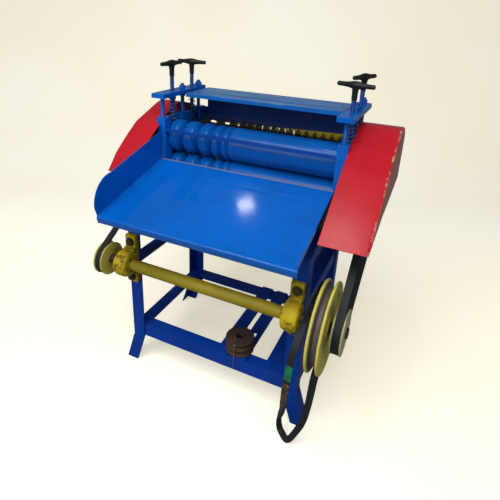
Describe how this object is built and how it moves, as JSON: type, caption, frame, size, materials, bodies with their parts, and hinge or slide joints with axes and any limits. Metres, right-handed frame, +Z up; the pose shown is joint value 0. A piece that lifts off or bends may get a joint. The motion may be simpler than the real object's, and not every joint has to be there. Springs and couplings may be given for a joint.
{
  "type": "electric wire stripping machine",
  "caption": "Belt-driven cable stripping machine on an angle-iron stand, with grooved feed rollers, a feed tray, adjusting screws, red belt guards and a loose motor belt; no motor.",
  "frame": {"origin": "on the floor, in the middle of the stand's footprint", "axes": "+X to the operator's right along the rollers, +Y from the feed tray to the outlet, +Z up"},
  "size_m": [0.698, 0.6355, 0.8472],
  "materials": {
    "stand_paint": "gloss",
    "tray_paint": "gloss",
    "head_paint": "gloss",
    "guard_paint": "gloss",
    "yellow_paint": "satin",
    "steel": "satin",
    "rusty_iron": "rough",
    "belt_rubber": "matte",
    "black_plastic": "matte",
    "wear_metal": "satin"
  },
  "bodies": {
    "machine": {"leg_front_left": "stand_paint", "leg_front_right": "stand_paint", "leg_rear_left": "stand_paint", "leg_rear_right": "stand_paint", "top_rails": "stand_paint", "middle_rails": "stand_paint", "low_rails": "stand_paint", "motor_slats": "stand_paint", "tray_supports": "stand_paint", "feed_tray": "tray_paint", "top_cover": "tray_paint", "bridge_left": "tray_paint", "bridge_right": "tray_paint", "side_plate_left": "head_paint", "side_plate_right": "head_paint", "back_plate": "head_paint", "guide_bar": "head_paint", "outlet_chute": "head_paint", "lower_bearings": "head_paint", "belt_guard_left": "guard_paint", "belt_guard_right": "guard_paint", "pillow_block_left": "yellow_paint", "pillow_block_right": "yellow_paint", "guide_comb": "yellow_paint", "bolts": "steel", "bridge_posts_and_collars": "steel", "feed_springs": "steel", "knife_springs": "steel", "tie_wire": "steel", "loose_pulley": "rusty_iron", "left_belt": "belt_rubber", "right_belt": "belt_rubber", "loose_motor_belt": "belt_rubber", "wear_strip": "wear_metal"},
    "countershaft_body": {"countershaft": "yellow_paint", "motor_side_pulley": "yellow_paint", "drive_pulleys": "yellow_paint", "bearing_rings": "steel"},
    "lower_feed_body": {"lower_feed_roller": "head_paint", "lower_feed_gear": "steel", "right_driven_pulley": "yellow_paint"},
    "feed_carriage": {"feed_slide_blocks": "head_paint"},
    "upper_feed_body": {"upper_feed_roller": "head_paint", "upper_feed_gear": "steel"},
    "lower_knife_body": {"lower_knife_shaft": "steel", "lower_blades": "steel", "lower_knife_gear": "steel", "left_driven_pulley": "yellow_paint"},
    "knife_carriage": {"knife_slide_blocks": "head_paint"},
    "upper_knife_body": {"upper_knife_shaft": "steel", "upper_blades": "steel", "upper_knife_gear": "steel"},
    "screw_front_left_body": {"screw_front_left": "head_paint", "handle_front_left": "black_plastic"},
    "screw_front_right_body": {"screw_front_right": "head_paint", "handle_front_right": "black_plastic"},
    "screw_rear_left_body": {"screw_rear_left": "head_paint", "handle_rear_left": "black_plastic"},
    "screw_rear_right_body": {"screw_rear_right": "head_paint", "handle_rear_right": "black_plastic"}
  },
  "joints": [
    {"name": "lower_feed_spin", "type": "hinge", "parent": "machine", "child": "lower_feed_body", "pos_m": [0, 0.058, 0.548], "axis": [-1, 0, 0], "continuous": true},
    {"name": "countershaft_spin", "type": "hinge", "parent": "machine", "child": "countershaft_body", "pos_m": [0, -0.2065, 0.356], "axis": [-1, 0, 0], "continuous": true},
    {"name": "upper_feed_spin", "type": "hinge", "parent": "feed_carriage", "child": "upper_feed_body", "pos_m": [0, 0.058, 0.64], "axis": [-1, 0, 0], "continuous": true},
    {"name": "lower_knife_spin", "type": "hinge", "parent": "machine", "child": "lower_knife_body", "pos_m": [0, 0.163, 0.552], "axis": [-1, 0, 0], "continuous": true},
    {"name": "upper_knife_spin", "type": "hinge", "parent": "knife_carriage", "child": "upper_knife_body", "pos_m": [0, 0.163, 0.636], "axis": [-1, 0, 0], "continuous": true},
    {"name": "feed_lift", "type": "slide", "parent": "machine", "child": "feed_carriage", "axis": [0, 0, 1], "range_m": [0, 0.006], "stiffness_N_per_m": 485.6, "springref_m": 0.5, "deforming": ["feed_springs"]},
    {"name": "screw_front_left_turn", "type": "hinge", "parent": "feed_carriage", "child": "screw_front_left_body", "pos_m": [-0.251, 0.058, 0.75], "axis": [0, 0, 1], "range_deg": [0, 1080]},
    {"name": "screw_front_right_turn", "type": "hinge", "parent": "feed_carriage", "child": "screw_front_right_body", "pos_m": [0.251, 0.058, 0.75], "axis": [0, 0, 1], "range_deg": [0, 1080]},
    {"name": "knife_lift", "type": "slide", "parent": "machine", "child": "knife_carriage", "axis": [0, 0, 1], "range_m": [0, 0.006], "stiffness_N_per_m": 229.36, "springref_m": 0.5, "deforming": ["knife_springs"]},
    {"name": "screw_rear_left_turn", "type": "hinge", "parent": "knife_carriage", "child": "screw_rear_left_body", "pos_m": [-0.251, 0.163, 0.75], "axis": [0, 0, 1], "range_deg": [0, 1080]},
    {"name": "screw_rear_right_turn", "type": "hinge", "parent": "knife_carriage", "child": "screw_rear_right_body", "pos_m": [0.251, 0.163, 0.75], "axis": [0, 0, 1], "range_deg": [0, 1080]}
  ],
  "couplings": [
    {"joint": "countershaft_spin", "follows": "lower_feed_spin", "ratio": 1.9231},
    {"joint": "upper_feed_spin", "follows": "lower_feed_spin", "ratio": -1},
    {"joint": "lower_knife_spin", "follows": "lower_feed_spin", "ratio": 1.0624},
    {"joint": "upper_knife_spin", "follows": "lower_feed_spin", "ratio": -1.0624},
    {"joint": "screw_front_left_turn", "follows": "feed_lift", "rad_per_m": 3141.6},
    {"joint": "screw_front_right_turn", "follows": "feed_lift", "rad_per_m": 3141.6},
    {"joint": "screw_rear_left_turn", "follows": "knife_lift", "rad_per_m": 3141.6},
    {"joint": "screw_rear_right_turn", "follows": "knife_lift", "rad_per_m": 3141.6}
  ]
}
